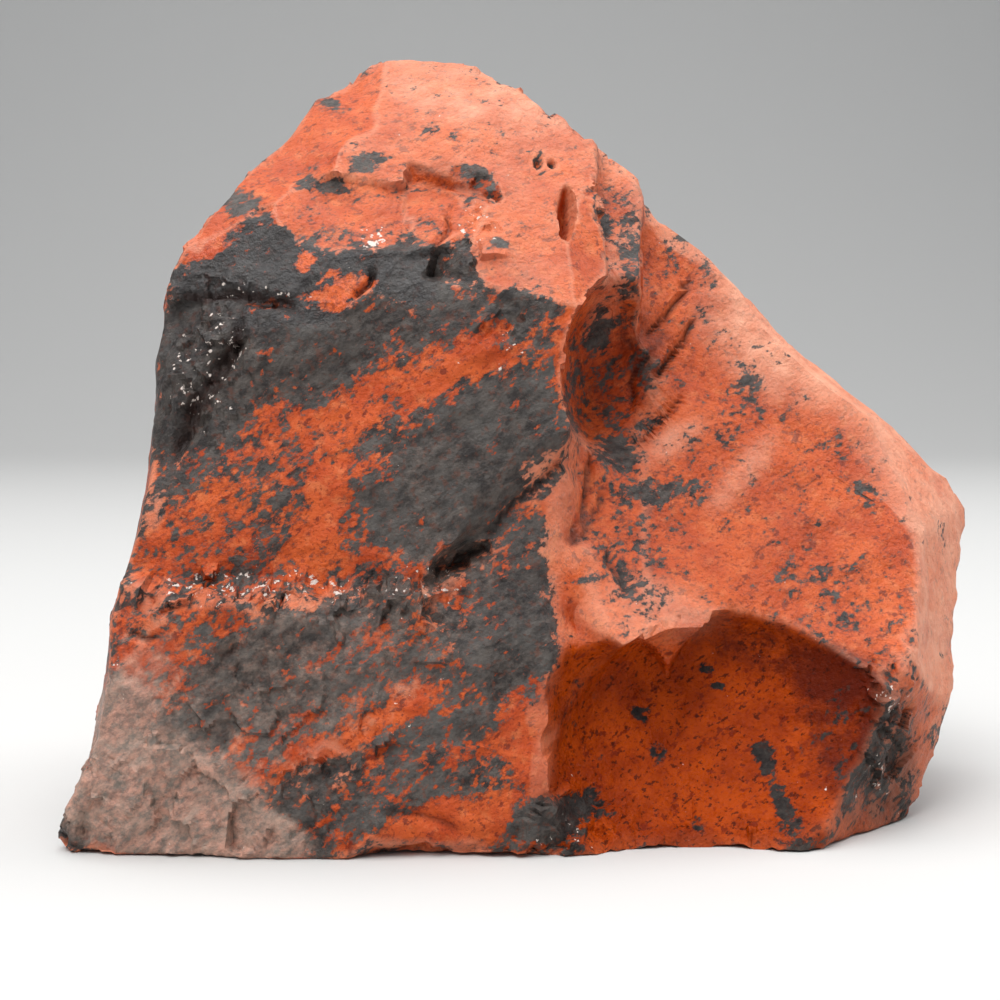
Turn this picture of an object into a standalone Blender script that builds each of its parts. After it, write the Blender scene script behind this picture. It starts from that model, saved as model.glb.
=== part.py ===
"""A hand-sized lump of rough mahogany obsidian, broken on every side.

The lump is one solid.  A block is roughed out with flat cuts a little outside its outer faces.
Each outer face and each scar is then cut by a tool of its own: a thick pad whose working face is
flat, hollowed or domed, and carries the slow waviness of broken glass.  Small scoops, gashes and
pits are egg-shaped cuts.

All sizes in the tables are millimetres.  A bearing is the way a face looks, seen from above:
0 looks to the front (-Y), 90 to the right (+X), 180 to the back.  A tilt is how far it looks up.
"""
import math

import bmesh
import bpy
from mathutils import Matrix, Vector, noise

NAME = "mahogany_obsidian"
MM = 0.001                       # the tables are in millimetres, the model in metres
BOX_MIDDLE = (5.96, 5.38)         # where the middle of the finished lump's box lies in the tables
BLOCK_LOW = (-100.0, -80.0, 0.0)
BLOCK_HIGH = (110.0, 80.0, 150.0)
SPARE_SKIN = 1.6                 # how far outside the outer faces the block is roughed out
SKIN_TOOL_DEPTH = 14.0           # thickness of the tools that take the spare skin off
SKIN_TOOL_MARGIN = 8.0           # how far those tools reach past their face
SCAR_REACH = 88.0                # half the width of a scar's tool
SCAR_DEPTH = 70.0                # its thickness, enough to clear everything in front of the scar
CELL = 7.5                       # spacing of the points across a tool's working face
BALL_STEPS = 3                   # rounds of division of an egg-shaped tool
WAVES = ((31.0, 0.9), (14.0, 0.4))   # wavelength and height of the waviness of broken faces
WAVE_SEED_STEP = 7.0             # sets each tool's waviness apart from the others'
STEEPEST = 0.9                   # the share of a curved face's squared radius that its tool may use
GUARD_SCALE = 1.3                # how much larger than the block the spur's guard is
CUT_TOLERANCE = 1e-5             # points this close to a flat cut lie on it
WELD = 0.002                     # points closer than this are one point
STONE_COLOUR = (0.30, 0.075, 0.030, 1.0)   # brick red, linear
STONE_ROUGHNESS = 0.42
GLASS_IOR = 1.49

# Outer faces: a point on the face, its bearing and its tilt.
OUTER_FACES = {
    "front": ((-31.0, -40.0, 0.5), 3.0, 7.0),
    "jaw": ((57.0, -25.0, 0.0), 47.0, -10.0),
    "left_side": ((-68.7, -41.0, 3.7), -92.0, 9.7),
    "toe": ((-70.2, -34.0, 4.5), -95.0, -50.0),
    "left_shoulder": ((-53.0, -19.0, 86.8), -97.0, 28.4),
    "cheek": ((58.7, -0.4, 67.2), 55.5, 33.0),
    "right_side": ((65.6, -17.7, 39.2), 60.0, 10.0),
    "right_slope": ((33.6, 8.0, 92.8), 112.0, 45.3),
    "right_underside": ((78.9, 6.3, 42.1), 108.0, -25.0),
    "crown_right": ((15.0, 7.8, 108.7), 112.0, 48.0),
    "crown_top": ((-13.9, 12.0, 125.7), 182.0, 78.0),
    "back": ((0.0, 42.0, 40.0), 184.0, 10.0),
    "back_left": ((-40.0, 30.0, 40.0), -140.0, 15.0),
    "back_right": ((62.0, 34.0, 40.0), 140.0, 12.0),
    "back_top": ((0.0, 32.0, 108.0), 176.0, 48.0),
}

# Scars: a point near the middle, bearing, tilt, and radius (+ hollow, - domed, 0 flat), then limits,
# then an outline in X and Z or None.  A limit is a point and the way in which the scar goes on.
SCARS = {
    "crown_dome": (((-9.2, -0.2, 114.0), 6.0, 45.0, -260.0), (), None),
    "side_flake": (((-53.9, -29.0, 63.7), -84.0, 6.0, 104.0), (), None),
    "side_low_flake": (((-60.9, -38.0, 21.6), -84.0, 10.0, 90.0), (), None),
    "back_scar": (((-22.0, 33.4, 72.0), 186.0, 18.0, 85.0), (), None),
    "back_low_scar": (((34.0, 36.0, 34.0), 158.0, 2.0, 75.0), (), None),
    "hollow": (((38.8, -5.0, 60.9), 10.0, 30.0, 170.0), (((11.2, -28.0, 62.9), 92.0, -4.0),), None),
    "bevel": (((48.5, 1.0, 74.5), 66.0, 47.0, 160.0), (((20.7, 0.0, 100.6), 100.0, 0.0),), None),
    "crown_left": (((-18.8, 8.0, 122.3), -23.4, 50.0, 0.0), (), None),
    "broad_face": (((-31.6, -28.0, 60.6), -1.0, 10.0, 0.0), (((-31.3, -32.0, 40.8), 0.0, 60.0),), None),
    "rough_corner": (((-41.1, -23.8, 82.6), -24.0, 19.2, 0.0), (((-47.2, -24.0, 84.1), 5.0, -75.0),),
                     None),
    "foot": (((-60.8, -37.5, 23.8), -8.0, -1.7, 0.0), (), None),
    "glossy_slope": (((-31.8, -24.4, 81.2), -4.0, 27.0, 0.0), (),
                     ((-60.0, 114.5), (-8.0, 114.5), (-8.0, 93.5), (-12.0, 79.0), (-60.5, 77.4))),
    "shelf_left": (((-33.2, -10.0, 102.7), 9.7, 42.8, 0.0), (),
                   ((-45.0, 101.3), (-34.9, 103.3), (-14.9, 101.9), (-14.9, 91.8), (-52.3, 90.2))),
    "shelf_right": (((-16.5, -9.7, 100.0), -8.0, 42.8, 0.0), (),
                    ((-16.3, 103.2), (-0.6, 100.0), (-7.4, 91.6), (-16.3, 91.6))),
    "ledge_wall": (((-15.9, -6.9, 102.5), -17.3, 8.0, 0.0), (),
                   ((-15.9, 107.4), (-1.0, 101.4), (-1.0, 99.2), (-15.9, 102.0))),
    "notch": (((-8.5, -19.0, 91.5), -33.0, 18.0, 0.0), (),
              ((-9.2, 98.3), (-0.2, 99.9), (2.1, 83.6), (-15.5, 87.5), (-11.1, 91.4))),
    "neck": (((6.2, -12.0, 102.9), 32.0, 33.3, 0.0), (((17.1, -20.0, 94.5), -90.0, 0.0),), None),
    "spur": (((20.1, -4.0, 93.8), 14.0, 36.0, 0.0), (((15.7, -28.0, 92.5), 90.0, 0.0),), None),
    "strip": (((5.8, -31.0, 44.0), 52.0, 5.0, 0.0), (),
              ((8.1, 55.6), (3.1, 53.1), (5.9, 43.9), (8.2, 31.6), (13.1, 31.6), (13.1, 55.6))),
    "fall": (((-8.6, -31.0, 37.9), -4.5, 21.8, 0.0), (),
             ((11.1, 62.9), (-10.8, 43.9), (-11.7, 36.2), (-5.6, 29.2), (11.3, 29.2))),
}

# The hollow leaves a spur standing under the crown: what lies beyond both of these limits.
SPUR_LIMITS = (((22.1, -20.0, 92.9), -92.0, 0.0), ((16.2, -28.0, 80.9), -150.0, 60.0))

# Egg-shaped cuts: middle, half sizes across, through and up, lean back and roll to the right.
EGG_CUTS = {
    "recess": ((18.2, -14.0, 73.9), (9.5, 16.0, 14.0), 25.0, 8.0),
    "scoop": ((34.0, -39.5, 14.0), (28.0, 13.5, 26.0), 40.0, -12.0),
    "scoop_left": ((14.6, -38.0, 17.0), (8.5, 10.0, 17.0), 20.0, -6.0),
    "gash_high": ((-6.6, -31.0, 43.7), (6.0, 8.0, 1.4), 0.0, -28.0),
    "gash_low": ((-26.3, -40.0, 12.8), (7.0, 3.0, 1.2), 0.0, -28.0),
    "slot": ((9.4, -12.0, 98.4), (1.1, 5.0, 6.2), 0.0, 6.0),
    "pit_left": ((5.3, -7.0, 106.8), (0.9, 2.6, 1.7), 0.0, 10.0),
    "pit_right": ((7.4, -6.6, 106.3), (0.7, 2.6, 1.1), 0.0, 0.0),
}


def outward(bearing, tilt):
    """The unit vector that a face with this bearing and tilt looks along."""
    b, t = math.radians(bearing), math.radians(tilt)
    return Vector((math.sin(b) * math.cos(t), -math.cos(b) * math.cos(t), math.sin(t)))


def keep_side(bm, point, direction):
    """Cut a closed mesh through point, keep what lies in the direction, and close the cut."""
    geometry = bm.verts[:] + bm.edges[:] + bm.faces[:]
    cut = bmesh.ops.bisect_plane(bm, geom=geometry, dist=CUT_TOLERANCE, plane_co=point,
                                 plane_no=direction, clear_inner=True)
    rim = [item for item in cut["geom_cut"] if isinstance(item, bmesh.types.BMEdge)]
    return bmesh.ops.holes_fill(bm, edges=rim, sides=0)["faces"]


def outline_limits(outline):
    """Limits along a convex outline in X and Z, its walls running straight back along Y."""
    middle = sum((Vector(corner) for corner in outline), Vector((0.0, 0.0))) / len(outline)
    limits = []
    for (x, z), (next_x, next_z) in zip(outline, outline[1:] + outline[:1]):
        inward = Vector((next_z - z, 0.0, x - next_x)).normalized()
        if inward.x * (middle.x - x) + inward.z * (middle.y - z) < 0.0:
            inward.negate()
        limits.append((Vector((x, 0.0, z)), inward))
    return limits


def make_box(low, high):
    """A closed box between two corners."""
    bm = bmesh.new()
    middle = (Vector(low) + Vector(high)) / 2.0
    size = Vector(high) - Vector(low)
    place = Matrix.Translation(middle) @ Matrix.Diagonal((*size, 1.0))
    bmesh.ops.create_cube(bm, size=1.0, matrix=place)
    return bm


def make_object(bm, name):
    """Turn a finished bmesh into an object in the scene."""
    bmesh.ops.recalc_face_normals(bm, faces=bm.faces[:])
    mesh = bpy.data.meshes.new(name)
    bm.to_mesh(mesh)
    bm.free()
    piece = bpy.data.objects.new(name, mesh)
    bpy.context.collection.objects.link(piece)
    return piece


def roughed_block():
    """The block with flat cuts a spare skin outside its outer faces, and each cut's extent."""
    bm = make_box(BLOCK_LOW, BLOCK_HIGH)
    for point, bearing, tilt in OUTER_FACES.values():
        facing = outward(bearing, tilt)
        keep_side(bm, Vector(point) + SPARE_SKIN * facing, -facing)
    bmesh.ops.recalc_face_normals(bm, faces=bm.faces[:])
    extents = {}
    for name, (point, bearing, tilt) in OUTER_FACES.items():
        facing = outward(bearing, tilt)
        face = max(bm.faces, key=lambda item: item.normal.dot(facing))
        middle = face.calc_center_median()
        reach = max((vert.co - middle).length for vert in face.verts)
        extents[name] = (middle - SPARE_SKIN * facing, reach + SKIN_TOOL_MARGIN)
    return make_object(bm, NAME), extents


def pad_tool(name, face, reach, depth, limits=(), outline=None):
    """A thick pad whose wavy working face cuts a flat, hollow or domed face; it looks outwards."""
    point, bearing, tilt, radius = face
    seed = WAVE_SEED_STEP * sum(ord(letter) for letter in name)
    steps = max(4, round(2.0 * reach / CELL))
    bm = bmesh.new()
    bmesh.ops.create_grid(bm, x_segments=steps, y_segments=steps, size=reach)
    for vert in bm.verts:
        if radius:
            away = min(vert.co.x ** 2 + vert.co.y ** 2, STEEPEST * radius ** 2)
            vert.co.z = math.copysign(abs(radius) - math.sqrt(radius ** 2 - away), radius)
        for wavelength, height in WAVES:
            spot = Vector((vert.co.x / wavelength, vert.co.y / wavelength, seed))
            vert.co.z += height * noise.noise(spot)
    bmesh.ops.triangulate(bm, faces=bm.faces[:])
    top = bmesh.ops.extrude_face_region(bm, geom=bm.faces[:])
    for item in top["geom"]:
        if isinstance(item, bmesh.types.BMVert):
            item.co.z = depth
    turned = outward(bearing, tilt).to_track_quat("Z", "Y").to_matrix().to_4x4()
    bmesh.ops.transform(bm, matrix=Matrix.Translation(point) @ turned, verts=bm.verts[:])
    bmesh.ops.recalc_face_normals(bm, faces=bm.faces[:])
    for limit_point, limit_bearing, limit_tilt in limits:
        keep_side(bm, Vector(limit_point), outward(limit_bearing, limit_tilt))
    if outline:
        for limit_point, inward in outline_limits(outline):
            keep_side(bm, limit_point, inward)
    return make_object(bm, name)


def spur_guard():
    """The part of space that the hollow's tool must leave standing."""
    bm = make_box(BLOCK_LOW, BLOCK_HIGH)
    bmesh.ops.scale(bm, vec=(GUARD_SCALE,) * 3, verts=bm.verts[:])
    for limit_point, limit_bearing, limit_tilt in SPUR_LIMITS:
        keep_side(bm, Vector(limit_point), outward(limit_bearing, limit_tilt))
    return make_object(bm, "spur_guard")


def egg_tool(name, middle, half_sizes, lean, roll):
    """An egg-shaped cutting tool, leaning back at the top and rolled clockwise from the front."""
    bm = bmesh.new()
    bmesh.ops.create_icosphere(bm, subdivisions=BALL_STEPS, radius=1.0)
    place = Matrix.Translation(middle) @ Matrix.Rotation(math.radians(roll), 4, "Y")
    place = place @ Matrix.Rotation(math.radians(-lean), 4, "X") @ Matrix.Diagonal((*half_sizes, 1.0))
    bmesh.ops.transform(bm, matrix=place, verts=bm.verts[:])
    return make_object(bm, name)


def subtract(piece, tool):
    """Take the tool's shape out of a piece with a Boolean that stays live until it is kept."""
    tool.hide_render = True
    tool.display_type = "WIRE"
    cut = piece.modifiers.new(tool.name, "BOOLEAN")
    cut.operation = "DIFFERENCE"
    cut.solver = "EXACT"
    cut.object = tool


def cut_faces(stone, extents):
    """Subtract every tool from the block and keep the result as the stone's own mesh."""
    tools = []
    for name, (point, bearing, tilt) in OUTER_FACES.items():
        middle, reach = extents[name]
        tools.append(pad_tool(name, (middle, bearing, tilt, 0.0), reach, SKIN_TOOL_DEPTH))
    guard = spur_guard()
    for name, (face, limits, outline) in SCARS.items():
        tools.append(pad_tool(name, face, SCAR_REACH, SCAR_DEPTH, limits, outline))
        if name == "hollow":
            subtract(tools[-1], guard)
    tools += [egg_tool(name, *egg) for name, egg in EGG_CUTS.items()]
    for tool in tools:
        subtract(stone, tool)
    bpy.context.view_layer.update()
    finished = bpy.data.meshes.new_from_object(
        stone.evaluated_get(bpy.context.evaluated_depsgraph_get()))
    stone.modifiers.clear()
    stone.data = finished
    for tool in tools + [guard]:
        bpy.data.objects.remove(tool)


def stone_material():
    """Brick-red volcanic glass with a dull, half-glossy broken surface."""
    material = bpy.data.materials.new("mahogany_volcanic_glass")
    material.use_nodes = True
    shader = material.node_tree.nodes["Principled BSDF"]
    shader.inputs["Base Color"].default_value = STONE_COLOUR
    shader.inputs["Roughness"].default_value = STONE_ROUGHNESS
    shader.inputs["Metallic"].default_value = 0.0
    shader.inputs["IOR"].default_value = GLASS_IOR
    return material


def build():
    """Make the stone and leave it standing on z = 0 over the origin."""
    for existing in list(bpy.data.objects):
        bpy.data.objects.remove(existing)
    stone, extents = roughed_block()
    cut_faces(stone, extents)
    bm = bmesh.new()
    bm.from_mesh(stone.data)
    bmesh.ops.remove_doubles(bm, verts=bm.verts[:], dist=WELD)
    bmesh.ops.triangulate(bm, faces=bm.faces[:])
    to_metres = Matrix.Scale(MM, 4) @ Matrix.Translation((-BOX_MIDDLE[0], -BOX_MIDDLE[1], 0.0))
    bmesh.ops.transform(bm, matrix=to_metres, verts=bm.verts[:])
    bmesh.ops.recalc_face_normals(bm, faces=bm.faces[:])
    bm.to_mesh(stone.data)
    bm.free()
    stone.data.materials.clear()
    stone.data.materials.append(stone_material())


build()
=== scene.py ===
import math
import bpy
import numpy as np
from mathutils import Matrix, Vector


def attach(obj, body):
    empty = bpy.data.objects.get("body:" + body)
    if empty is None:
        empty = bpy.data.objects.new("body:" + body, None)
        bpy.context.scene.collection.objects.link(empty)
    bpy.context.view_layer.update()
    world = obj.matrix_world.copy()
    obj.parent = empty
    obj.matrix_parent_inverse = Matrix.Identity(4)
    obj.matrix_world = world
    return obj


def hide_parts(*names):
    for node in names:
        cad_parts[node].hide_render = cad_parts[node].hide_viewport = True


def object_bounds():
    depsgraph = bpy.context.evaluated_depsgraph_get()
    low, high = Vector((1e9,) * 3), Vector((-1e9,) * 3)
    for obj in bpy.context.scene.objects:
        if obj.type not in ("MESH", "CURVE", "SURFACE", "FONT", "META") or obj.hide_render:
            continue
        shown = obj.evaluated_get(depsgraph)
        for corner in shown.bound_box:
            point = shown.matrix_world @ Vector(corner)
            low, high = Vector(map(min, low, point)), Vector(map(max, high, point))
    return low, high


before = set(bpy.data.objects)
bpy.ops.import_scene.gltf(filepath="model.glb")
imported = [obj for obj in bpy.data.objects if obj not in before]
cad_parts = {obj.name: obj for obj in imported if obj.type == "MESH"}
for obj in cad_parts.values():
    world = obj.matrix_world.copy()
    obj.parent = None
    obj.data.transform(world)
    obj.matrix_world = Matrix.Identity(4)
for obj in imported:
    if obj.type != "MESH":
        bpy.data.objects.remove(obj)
cadBox = [list(map(float, corner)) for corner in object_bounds()]
print("frame loaded")

mm = 0.001
# the tables below are in millimetres, off by this from the frame
boxMiddle = np.array([5.96, 5.38, 0.0])
tau = 2.0 * math.pi
farAway = 1e9
tiny = 1e-12


def linearColour(code):
    # sRGB hex to linear RGBA: (c / 12.92) under 0.04045, else ((c + 0.055) / 1.055) to the power 2.4
    values = [int(code[i:i + 2], 16) / 255.0 for i in (1, 3, 5)]
    return tuple(v / 12.92 if v <= 0.04045 else ((v + 0.055) / 1.055) ** 2.4 for v in values) + (1.0,)


def facing(bearing, tilt):
    # unit vector: bearing 0 looks to -Y, 90 to +X; tilt is how far it looks up
    b, t = math.radians(bearing), math.radians(tilt)
    return np.array([math.sin(b) * math.cos(t), -math.cos(b) * math.cos(t), math.sin(t)])


# the stone's outer faces, the same ones that its solid has: a point, the bearing and the tilt
outerFaces = {
    "base": ((0, 0, 0), 0, -90),
    "front": ((-31, -40, 0.5), 3, 7),
    "jaw": ((57, -25, 0), 47, -10),
    "leftSide": ((-68.7, -41, 3.7), -92, 9.7),
    "toe": ((-70.2, -34, 4.5), -95, -50),
    "leftShoulder": ((-53, -19, 86.8), -97, 28.4),
    "cheek": ((58.7, -0.4, 67.2), 55.5, 33),
    "rightSide": ((65.6, -17.7, 39.2), 60, 10),
    "rightSlope": ((33.6, 8, 92.8), 112, 45.3),
    "rightUnderside": ((78.9, 6.3, 42.1), 108, -25),
    "crownRight": ((15, 7.8, 108.7), 112, 48),
    "crownTop": ((-13.9, 12, 125.7), 182, 78),
    "back": ((0, 42, 40), 184, 10),
    "backLeft": ((-40, 30, 40), -140, 15),
    "backRight": ((62, 34, 40), 140, 12),
    "backTop": ((0, 32, 108), 176, 48),
}
crease = ((11.2, -28, 62.9), 92, -4)
hollowFace = ((38.8, -5, 60.9), 10, 30, 170)
# a scar: its face (point, bearing, tilt, radius: + hollow, - domed, 0 flat), limits, outline in X and Z
scars = {
    "crownDome": (((-9.2, -0.2, 114), 6, 45, -260), (), ()),
    "sideFlake": (((-53.9, -29, 63.7), -84, 6, 104), (), ()),
    "sideLowFlake": (((-60.9, -38, 21.6), -84, 10, 90), (), ()),
    "backScar": (((-22, 33.4, 72), 186, 18, 85), (), ()),
    "backLowScar": (((34, 36, 34), 158, 2, 75), (), ()),
    "hollowRight": (hollowFace, (crease, ((22.1, -20, 92.9), 88, 0)), ()),
    "hollowLeft": (hollowFace, (crease, ((16.2, -28, 80.9), 30, -60)), ()),
    "bevel": (((48.5, 1, 74.5), 66, 47, 160), (((20.7, 0, 100.6), 100, 0),), ()),
    "crownLeft": (((-18.8, 8, 122.3), -23.4, 50, 0), (), ()),
    "broadFace": (((-31.6, -28, 60.6), -1, 10, 0), (((-31.3, -32, 40.8), 0, 60),), ()),
    "roughCorner": (((-41.1, -23.8, 82.6), -24, 19.2, 0), (((-47.2, -24, 84.1), 5, -75),), ()),
    "foot": (((-60.8, -37.5, 23.8), -8, -1.7, 0), (), ()),
    "glossySlope": (((-31.8, -24.4, 81.2), -4, 27, 0), (),
                    ((-60, 114.5), (-8, 114.5), (-8, 93.5), (-12, 79), (-60.5, 77.4))),
    "shelfLeft": (((-33.2, -10, 102.7), 9.7, 42.8, 0), (),
                  ((-45, 101.3), (-34.9, 103.3), (-14.9, 101.9), (-14.9, 91.8), (-52.3, 90.2))),
    "shelfRight": (((-16.5, -9.7, 100), -8, 42.8, 0), (),
                   ((-16.3, 103.2), (-0.6, 100), (-7.4, 91.6), (-16.3, 91.6))),
    "ledgeWall": (((-15.9, -6.9, 102.5), -17.3, 8, 0), (),
                  ((-15.9, 107.4), (-1, 101.4), (-1, 99.2), (-15.9, 102))),
    "notch": (((-8.5, -19, 91.5), -33, 18, 0), (),
              ((-9.2, 98.3), (-0.2, 99.9), (2.1, 83.6), (-15.5, 87.5), (-11.1, 91.4))),
    "neck": (((6.2, -12, 102.9), 32, 33.3, 0), (((17.1, -20, 94.5), -90, 0),), ()),
    "spur": (((20.1, -4, 93.8), 14, 36, 0), (((15.7, -28, 92.5), 90, 0),), ()),
    "strip": (((5.8, -31, 44), 52, 5, 0), (),
              ((8.1, 55.6), (3.1, 53.1), (5.9, 43.9), (8.2, 31.6), (13.1, 31.6), (13.1, 55.6))),
    "fall": (((-8.6, -31, 37.9), -4.5, 21.8, 0), (),
             ((11.1, 62.9), (-10.8, 43.9), (-11.7, 36.2), (-5.6, 29.2), (11.3, 29.2))),
}
# an egg-shaped cut: middle, half sizes across, through and up, lean back, roll to the right
eggs = {
    "recess": ((18.2, -14, 73.9), (9.5, 16, 14), 25, 8),
    "scoop": ((34, -39.5, 14), (28, 13.5, 26), 40, -12),
    "scoopLeft": ((14.6, -38, 17), (8.5, 10, 17), 20, -6),
    "gashHigh": ((-6.6, -31, 43.7), (6, 8, 1.4), 0, -28),
    "gashLow": ((-26.3, -40, 12.8), (7, 3, 1.2), 0, -28),
    "slot": ((9.4, -12, 98.4), (1.1, 5, 6.2), 0, 6),
    "pitLeft": ((5.3, -6, 106.8), (0.9, 2.4, 1.7), 20, 10),
    "pitRight": ((7.4, -5.6, 106.3), (0.7, 2.4, 1.1), 20, 0),
    "arch": ((-14.5, -41, 0.2), (9, 5, 2.1), 0, 0),
}
labels = list(outerFaces) + list(scars) + list(eggs) + ["chip"]
number = {name: i for i, name in enumerate(labels)}

# what the skin is made with: cells across, through and up; the core it grows from; waves of a broken face;
# how a ray meets a cut; small flakes off the edges; and how points slide to the edges
skin = {
    "cells": (280, 64, 232), "spread": (0.7, 0.3, 0.7), "fan": (6.0, 2.0, 6.0),
    "coreHeights": (8.0, 50.0, 98.0), "coreLeft": (-55.0, -42.0, -31.0), "coreRight": (54.0, 52.0, 3.0),
    "coreFront": (-3.0, 0.0, 5.0), "coreBack": (15.0, 15.0, 10.0),
    "waveLength": 24.0, "waveHeight": 0.45, "waveSmall": 7.0, "waveSmallHeight": 0.14, "waveSmallSeed": 900,
    "sines": 7, "sineLengths": (0.6, 1.5), "sineLevel": 2.2, "wallSwell": 1.2, "wallSeeds": 31,
    "smallCut": 5.0, "shortest": 0.5, "longest": 200.0, "parallel": 1e-6, "glancing": 0.2,
    "chips": 420, "chipSizes": (0.6, 3.0), "chipThin": 0.26, "chipRare": 3.5, "chipTurn": 0.35,
    "chipWide": (0.7, 1.4), "chipSunk": 0.35, "chipLowest": 0.6, "chipSeed": 31, "sharpTurn": 0.3,
    "cliff": 0.9, "slide": 0.5, "cliffSlide": 0.97, "halvings": 6,
}
cleanRims = ("scoop", "scoopLeft", "bevel", "slot", "pitLeft", "pitRight")      # no small flakes here
# lines on the front, in X and Z, with how deep they cut and their half width; below zero stands proud
lines = {
    "lipUndercut": (((-53, 84), (-47.7, 84.1), (-42.6, 85.1), (-37.8, 84), (-33.4, 83.1),
                     (-31.4, 80.4)), 1.7, 1),
    "cornerCrack": (((-41.2, 82.6), (-41.6, 78), (-44.8, 72), (-47.8, 66.7), (-51.3, 59.8),
                     (-53, 57)), 1.9, 1.2),
    "slopeCrack": (((-20, 89.5), (-20.8, 86.2), (-23.8, 83.2)), 1.3, 0.6),
    "shelfStep": (((-8.2, 99.5), (-9.7, 97), (-9.2, 94.1), (-11.8, 91.6), (-16, 90.2)), 0.9, 0.5),
    "spurCrack": (((33.3, 90.4), (31, 86.8), (27.4, 82.1), (24.6, 79.1), (22.1, 77.4)), 1.3, 0.8),
    "longCrack": (((31.6, 83.4), (30.4, 77.8), (25.5, 71.8), (23.3, 69.9)), 1.2, 0.8),
    "shortCrack": (((24.9, 77.1), (22.5, 73.2), (21, 70), (20.4, 65.1)), 0.9, 0.8),
    "flakeArc": (((28.6, 71.7), (29.4, 69.1), (26.6, 65.9), (22, 61.5), (17.3, 60.3)), 0.9, 0.8),
    "stripCrack": (((14.3, 62.6), (13, 56.6), (12.3, 49.8), (10.8, 47.7), (8.2, 45.6)), 1.1, 0.75),
    "hookCrack": (((14.7, 55), (15, 51.9), (12.9, 47.6), (9, 45)), 1, 0.75),
    "lowCrack": (((15.5, 46), (16.5, 42.8), (18, 40.5), (18.3, 37.4)), 1, 0.75),
    "lipShade": (((10.2, 60.9), (6.2, 55.7), (2, 52.3), (-1.7, 48.9), (-5.5, 45.5)), 1.3, 0.8),
    "sideCrack": (((-58.1, 32.5), (-55.6, 33.4), (-53.3, 32.7), (-50.5, 33.6)), 1, 0.7),
    "smallPit": (((-43.5, 29.8), (-40.7, 31.2), (-39.6, 33)), 1, 1),
    "chipUnder": (((-20.1, 5.8), (-16, 6.6), (-10, 5.5), (-5.5, 2.9)), 0.8, 0.9),
    "rib": (((33.5, 64.6), (27.9, 60.9), (24.3, 58.7), (18, 55.5)), -0.4, 1.9),
    "ribLong": (((44.7, 61.2), (39.3, 56.1), (33.2, 50.6), (30.4, 46.2)), -0.4, 1.9),
    "ribCheek": (((58.5, 60), (61, 54), (63, 46), (64, 38)), -0.4, 1.4),
}
# where a cut runs out smoothly into the face beside it
softened = {
    "recessRight": (28, 70, 5.5, 13, 4, 1), "recessFoot": (22.5, 62, 6.5, 7.5, 0, 0.9),
    "recessHead": (25, 84, 5, 4, 0, 0.6),
    "nose": (3.6, 55.6, 9.5, 3.2, 38, 0.6), "stripFoot": (11.8, 39.5, 5, 11, -6, 1),
    "ribFoot": (27, 60, 9, 5, 35, 0.5), "ribLongFoot": (38, 55, 9, 5, 45, 0.4),
}
# where the front is crushed, in X and Z: middle, half sizes, turn, how much
rubble = {
    "ledgeLeft": (-46, 39.5, 13, 3, 3, 1), "ledgeRight": (-22, 38.5, 14, 3, -3, 0.9),
    "ledgeEnd": (-9, 40, 5, 4, 30, 0.8), "corner": (-46, 72, 7, 12, -14, 1.1),
    "notch": (-5, 93, 5, 7, 0, 0.45), "pits": (-1, 78, 4.5, 6, 10, 0.8),
    "lip": (-40, 85, 12, 2, -6, 0.6), "cheekChips": (60, 15, 5, 10, 10, 1),
    "cheekTop": (59, 25, 5, 4, -30, 0.9), "foot": (-50, 8, 22, 12, 10, 0.35),
    "lowFace": (-25, 24, 34, 18, 10, 0.3), "lowGash": (-24, 14, 9, 3, 25, 0.6),
    "bottomRim": (-10, 3, 50, 4, 0, 0.5), "blackChip": (8, 5, 9, 5, 0, 0.8),
    "footTip": (-66, 6, 6, 8, 0, 0.6), "spurTip": (19, 82, 4, 8, 0, 0.4),
}
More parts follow.
